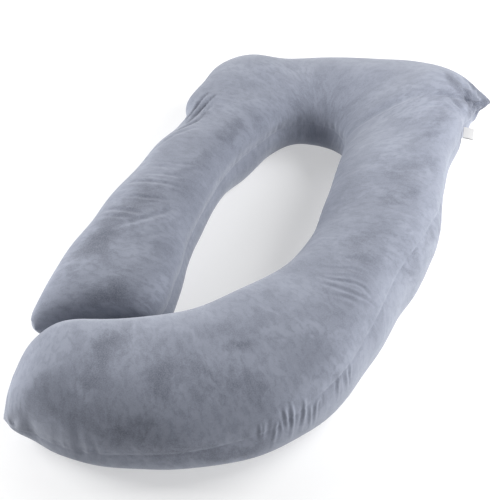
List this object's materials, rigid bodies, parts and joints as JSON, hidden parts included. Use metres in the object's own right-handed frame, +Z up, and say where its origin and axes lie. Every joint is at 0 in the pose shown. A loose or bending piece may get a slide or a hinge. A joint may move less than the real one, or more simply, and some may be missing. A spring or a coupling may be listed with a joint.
{
  "type": "pregnancy pillow",
  "caption": "U-shaped full-body pillow in plush cloth, one leg curled across in front of the other, lying flat, with a blank sewn-in label.",
  "frame": {"origin": "on the floor, under the middle of the pillow's footprint", "axes": "+Y towards the head end, where the two legs join; +X towards the long leg that curls round; +Z up from the face it lies on"},
  "size_m": [0.8062, 1.4341, 0.2035],
  "materials": {
    "plush_cloth": "short-pile velvet, slate blue-grey with a mottled nap",
    "label_satin": "plain white woven satin tape"
  },
  "bodies": {
    "root": {"pillow": "plush_cloth", "care_label": "label_satin"}
  },
  "joints": []
}
